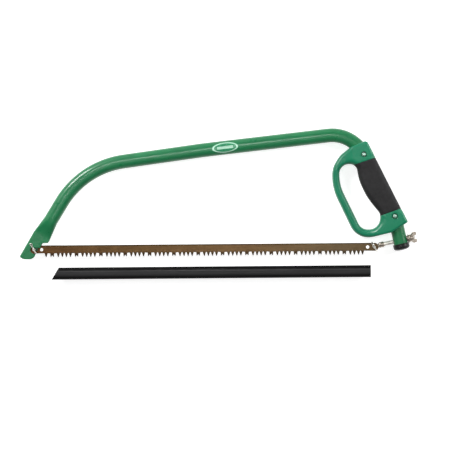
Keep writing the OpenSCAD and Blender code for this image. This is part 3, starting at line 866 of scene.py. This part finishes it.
def cotter(u, height, before, after):
    """A split pin bent from one wire: an eye, a doubled shank and two tails."""
    eye, half, splay = 1.9, 0.62, math.radians(16)
    path = [(after + 3.7 * math.cos(splay), half + 3.7 * math.sin(splay)), (after + 0.8, half + 0.15),
            (after, half), (0, half), (-before + 1.0, half), (-before + 0.3, half + 0.15)]
    path += [(-before - 1.3 + eye * math.cos(t), eye * math.sin(t))
             for t in (math.radians(a) for a in range(35, 326, 15))]
    path += [(-before + 0.3, -half - 0.15), (-before + 1.0, -half), (0, -half), (after, -half),
             (after + 0.8, -half - 0.15), (after + 3.0 * math.cos(splay), -half - 3.0 * math.sin(splay))]
    c, s = math.cos(math.radians(-62)), math.sin(math.radians(-62))
    return wire([(u + x * c - y * s, x * s + y * c, height) for x, y in path], 0.6)


piece("nose_pin", headed_pin(0, -3.55, 6.85), "frame", pin_steel, ["front_pin"])
piece("nose_cotter", cotter(0, 4.75, 9, 5), "frame", pin_steel, ["front_cotter"])
piece("lug_pin", headed_pin(PIN_SPAN, -3.85, 4.15), "tensioner", pin_steel, ["rear_pin"])
piece("lug_cotter", cotter(PIN_SPAN, 2.05, 6.5, 7), "tensioner", pin_steel, ["rear_cotter"])

# ---------- tensioner ----------

LUG_START, LUG_END, NUT_START, ROD_END = 8.2, 17.4, 63.4, 73.9
PITCH = 1.25
MELT_VOXEL = 0.0004


def threaded_rod():
    """The rod, with a helical thread all along it and a chamfered end."""
    rings, sides, step = [], 24, PITCH / 6
    count = round((ROD_END - LUG_END + 3) / step)
    for i in range(count + 1):
        s = LUG_END - 3 + (ROD_END - LUG_END + 3) * i / count
        ease = 0.9 * smooth(s, ROD_END - 1.2, ROD_END)
        ring = []
        for k in range(sides):
            phase = (s / PITCH - k / sides) % 1
            r = 3.36 + 0.6 * min(1.0, 1.2 * abs(2 * phase - 1)) - ease
            t = 2 * math.pi * k / sides
            ring.append(along_rod(s, r * math.cos(t), r * math.sin(t)))
        rings.append(ring)
    return skin(rings)


def lug():
    """The barrel that takes the rod, and the tongue behind the blade."""
    barrel = [(LUG_START + s, r) for s, r in ((0, 3.6), (0.5, 4.6), (1.1, 5.0), (3.2, 5.0),
                                              (3.6, 4.5), (4.4, 4.5), (4.8, 5.0))]
    barrel += [(LUG_END - 0.9, 5.0), (LUG_END - 0.2, 4.7), (LUG_END, 4.2), (LUG_END, 3.0)]
    low, high = math.degrees(ROD_ANGLE) + 32, math.degrees(ROD_ANGLE) + 332
    outline = [tuple(p) for p in circle((PIN_SPAN, 0), 6.2, 48, low, high)]
    outline += [along_rod(LUG_START + 2, -4.1)[:2], along_rod(LUG_START + 2, 4.1)[:2]]
    outline = counterclockwise(resample(outline, 0.7))
    rim = inset(outline, 0.45, 1)
    top, thick = -0.8, 3.0

    def face(p):
        return thick - 0.35 * np.clip(1 - distance(p, outline) / 0.45, 0, 1) ** 2

    verts, faces = slab([outline], [], rim, face, lambda p: np.zeros(len(p)), lip=0.4)
    tongue = [(u, v, w + top - thick) for u, v, w in verts], faces
    return joined(lathe(barrel, along_rod, 40), tongue)


def flat_washer():
    low, high = NUT_START - 1.25, NUT_START - 0.3
    section = [(low, 4.4), (low, 7.8), (low + 0.2, 8.0), (high - 0.2, 8.0), (high, 7.8), (high, 4.4)]
    return lathe(section, along_rod, 48, False)


def wing_nut():
    """A forged wing nut: hub and wings melted together and softened."""
    turn = math.radians(57)

    def local(s, x, y):
        return along_rod(NUT_START + s, x * math.cos(turn) - y * math.sin(turn),
                         x * math.sin(turn) + y * math.cos(turn))

    hub = lathe([(0, 4.1), (0, 6.3), (0.5, 6.5), (3, 6.4), (7.4, 5.6), (8, 5.2), (8, 4.1)], local, 48, False)
    outline = rounded([(4.5, 1.2, 0.1), (7.5, 2.4, 3), (15.9, 7.0, 2.6), (15.9, 14, 3.1), (9.6, 14, 2.9),
                       (4.5, 7.2, 0.1)], 8)
    wings = [skin([[local(along, side * x, y) for x, along in outline] for y in (-1.5, -0.6, 0.6, 1.5)])
             for side in (1, -1)]
    obj = piece("forged_wing_nut", joined(hub, *wings), "wing_nut", zinc, ["wing_nut"])
    melt = obj.modifiers.new("melt", "REMESH")
    melt.mode, melt.voxel_size, melt.use_smooth_shade = "VOXEL", MELT_VOXEL, True
    soft = obj.modifiers.new("soft", "SMOOTH")
    soft.iterations, soft.factor = 5, 0.5


piece("threaded_rod", threaded_rod(), "tensioner", bright_zinc, ["tension_rod"], sharp=50)
piece("rod_lug", lug(), "tensioner", zinc, ["blade_lug"])
piece("nut_washer", flat_washer(), "frame", zinc, ["flat_washer"])
wing_nut()
saddle = frame["nodes"]["saddle_washer"]
saddle.data.materials.clear()
saddle.data.materials.append(zinc)

# ---------- blade ----------

BACK, TIP, GULLET = 7.5, -13.4, -6.9
RAKER_PITCH, FIRST_RAKER, RAKERS = 43.4, 32.5, 13
TOOTH_PITCH = RAKER_PITCH / 6


def tooth(u):
    """A pointed tooth's outline."""
    return [(u - 2.9, GULLET + 0.4), (u - 0.6, TIP), (u + 0.6, TIP), (u + 2.9, GULLET + 0.4)]


def raker(u):
    """A forked raker's outline."""
    tip = TIP + 0.5
    return [(u - 5.2, GULLET), (u - 3.6, GULLET), (u - 2.9, tip), (u - 1.9, tip), (u, TIP + 3.2),
            (u + 1.9, tip), (u + 2.9, tip), (u + 3.6, GULLET), (u + 5.2, GULLET)]


def tooth_row():
    row = tooth(FIRST_RAKER - 1.5 * TOOTH_PITCH)
    for i in range(RAKERS):
        start = FIRST_RAKER + i * RAKER_PITCH
        row += raker(start)
        for j in range(4):
            row += tooth(start + (1.5 + j) * TOOTH_PITCH)
    return row


def blade():
    """The blade: open hook over the front pin, teeth and rakers, round end with the rear pin's hole."""
    slack, r, nose, end_r = 5.2, 2.8, -6.0, BACK - 0.1
    low = math.degrees(math.asin(GULLET / end_r))
    end = [tuple(p) for p in circle((PIN_SPAN, 0), end_r, 24, low, 89)]
    notch = [(slack + r - 0.6, BACK)] + [tuple(p) for p in circle((slack, 0), r - 0.6, 8, 0, -90)]
    notch += [tuple(p) for p in circle((0, 0), r, 12, -52, -180)] + [(-r, BACK)]
    outline = [(nose + 2, GULLET)] + tooth_row() + [(PIN_SPAN, GULLET)] + end + [(PIN_SPAN, BACK)]
    outline = np.array(outline + notch + [(nose + 2, BACK), (nose, BACK - 2), (nose, -2.8)])
    holes = [circle((13.6, 0), 2.95), circle((595, 0), 2.95), circle((PIN_SPAN, 0), 2.58)]

    def set_over(p):
        """Neighbouring teeth lean to opposite sides; the rakers stand straight."""
        step = (p[:, 0] - FIRST_RAKER + TOOTH_PITCH * 2) / TOOTH_PITCH
        where = (step - 2) % 6
        number = np.floor(where - 1.0)
        lean = np.where((where > 1.0) & (where < 5.0), np.where(number % 2 == 0, 1.0, -1.0), 0.0)
        lean = np.where(p[:, 0] < FIRST_RAKER - 6, -1.0, lean)
        return lean * np.clip((GULLET - p[:, 1]) / (GULLET - TIP), 0, 1)

    def top(p):
        lean = set_over(p)
        return 0.45 + 0.45 * lean - 0.3 * np.clip(-lean, 0, 1)

    def bottom(p):
        lean = set_over(p)
        return -0.45 + 0.45 * lean + 0.3 * np.clip(lean, 0, 1)

    return slab([outline] + holes, [], np.zeros((0, 2)), top, bottom)


piece("toothed_blade", blade(), "blade", blade_steel(), ["blade"], sharp=12)

# ---------- blade guard ----------


def guard():
    """An extruded channel with a bevelled lip, a flat side, a tapered lower side and a round spine."""
    height, slant = GUARD_HEIGHT, 12.8
    left, right = 31.2, 600.3
    outer = [(height, 2.5), (height - 0.2, 2.85), (height - 3.5, 3.92), (height - 4.0, 4.0),
             (7.8, 4.0), (7.3, 3.92), (2.9, 2.55)]
    outer += [(2.9 - 2.9 * math.sin(t), 2.55 * math.cos(t))
              for t in (math.radians(a) for a in range(8, 89, 8))]
    inner = [(2.0, 0.0)] + [(4.2 - 2.2 * math.cos(t), 2.25 * math.sin(t))
                            for t in (math.radians(a) for a in (30, 60, 90))]
    inner += [(height - 0.4, 2.3)]
    half = [(0.0, 0.0)] + outer[::-1]
    section = half + inner[::-1] + [(x, -y) for x, y in inner[1:]] + [(x, -y) for x, y in half[1:]][::-1]
    rings = []
    for i in range(25):
        f = i / 24
        bow = 0.25 * math.sin(math.pi * f) * math.sin(7 * f)
        ring = []
        for up, across in section:
            start = left + slant * up / height
            ring.append((start + (right - start) * f, GUARD_LOW + up, across + bow * (up / height)))
        rings.append(ring)
    return skin(rings)


piece("channel_guard", guard(), "blade_guard", guard_plastic(), ["blade_guard"],
      sharp=10)

# ---------- studio ----------

MIDDLE = Vector(at(341.0, 41.3))
VIEW_WIDTH, CAMERA_HEIGHT, CAMERA_ROLL, SENSOR = 0.8024, 6.0, -0.47, 36.0
FLOOR_HALF, FLOOR_GLOW = 6, 0.82


def floor():
    """A pale matt floor that glows a little, so that shadows stay faint."""
    mesh = bpy.data.meshes.new("floor")
    corners = [(x * FLOOR_HALF, y * FLOOR_HALF, 0) for x, y in ((-1, -1), (1, -1), (1, 1), (-1, 1))]
    mesh.from_pydata(corners, [], [(0, 1, 2, 3)])
    obj = bpy.data.objects.new("floor", mesh)
    bpy.context.scene.collection.objects.link(obj)
    n = Nodes("studio_floor").set(Roughness=0.9, Specular_IOR_Level=0.1)
    n.set(Emission_Color=(1, 1, 1, 1), Emission_Strength=FLOOR_GLOW)
    obj.data.materials.append(n.done(n.ramp(n.noise(3, 2), [(0.3, grey(0.5)), (0.7, grey(0.52))])))


def area_light(name, place, target, size, power, turn=0.0):
    """A soft box aimed at a point and turned about its own axis, in degrees."""
    data = bpy.data.lights.new(name, "AREA")
    data.shape, data.size, data.size_y, data.energy = "RECTANGLE", size[0], size[1], power
    obj = bpy.data.objects.new(name, data)
    obj.location = place
    obj.rotation_euler = (Vector(target) - Vector(place)).to_track_quat("-Z", "Y").to_euler()
    obj.rotation_euler.rotate_axis("Z", math.radians(turn))
    obj.visible_camera = False
    bpy.context.scene.collection.objects.link(obj)


def studio():
    """Floor, lights and a grey world that is brightest low down and straight above."""
    floor()
    area_light("softbox_left", (-1.4, 1.4, 1.5), MIDDLE, size=(0.55, 0.9), power=57)
    area_light("softbox_right", (1.7, 0.7, 1.3), MIDDLE, size=(0.8, 0.8), power=26)
    area_light("softbox_far", (0.1, 2.1, 1.3), MIDDLE, size=(1.6, 0.6), power=4)
    # The strips draw the narrow highlights along the tube's top and down its leg.
    area_light("strip", (-0.08, 0.27, 2.2), (-0.08, 0.13, 0.0), size=(0.7, 0.06), power=4.6)
    area_light("leg_strip", (-0.384, 0.062, 2.2), (-0.384, 0.062, 0.0), size=(0.16, 0.045), power=0.45,
               turn=61.5)
    world = bpy.data.worlds.new("studio")
    bpy.context.scene.world = world
    world.use_nodes = True
    tree = world.node_tree
    place = tree.nodes.new("ShaderNodeTexCoord").outputs["Generated"]
    split = tree.nodes.new("ShaderNodeSeparateXYZ")
    tree.links.new(place, split.inputs["Vector"])
    ramp = tree.nodes.new("ShaderNodeValToRGB")
    levels = [(0.0, 0.6), (0.35, 0.42), (0.6, 0.12), (0.94, 0.08), (0.985, 0.45), (1.0, 0.5)]
    set_stops(ramp.color_ramp, [(position, grey(level)) for position, level in levels])
    tree.links.new(split.outputs["Z"], ramp.inputs["Fac"])
    tree.links.new(ramp.outputs["Color"], tree.nodes["Background"].inputs["Color"])
    bpy.context.scene.view_settings.view_transform = "Standard"


def camera():
    """Straight above the saw, as far off and as narrow as a long lens."""
    data = bpy.data.cameras.new("camera")
    data.sensor_width, data.lens = SENSOR, SENSOR * CAMERA_HEIGHT / VIEW_WIDTH
    data.clip_end = 50
    obj = bpy.data.objects.new("camera", data)
    obj.location = (MIDDLE.x, MIDDLE.y, MIDDLE.z + CAMERA_HEIGHT)
    obj.rotation_euler = (0, 0, math.radians(CAMERA_ROLL))
    bpy.context.scene.collection.objects.link(obj)
    bpy.context.scene.camera = obj


studio()
camera()
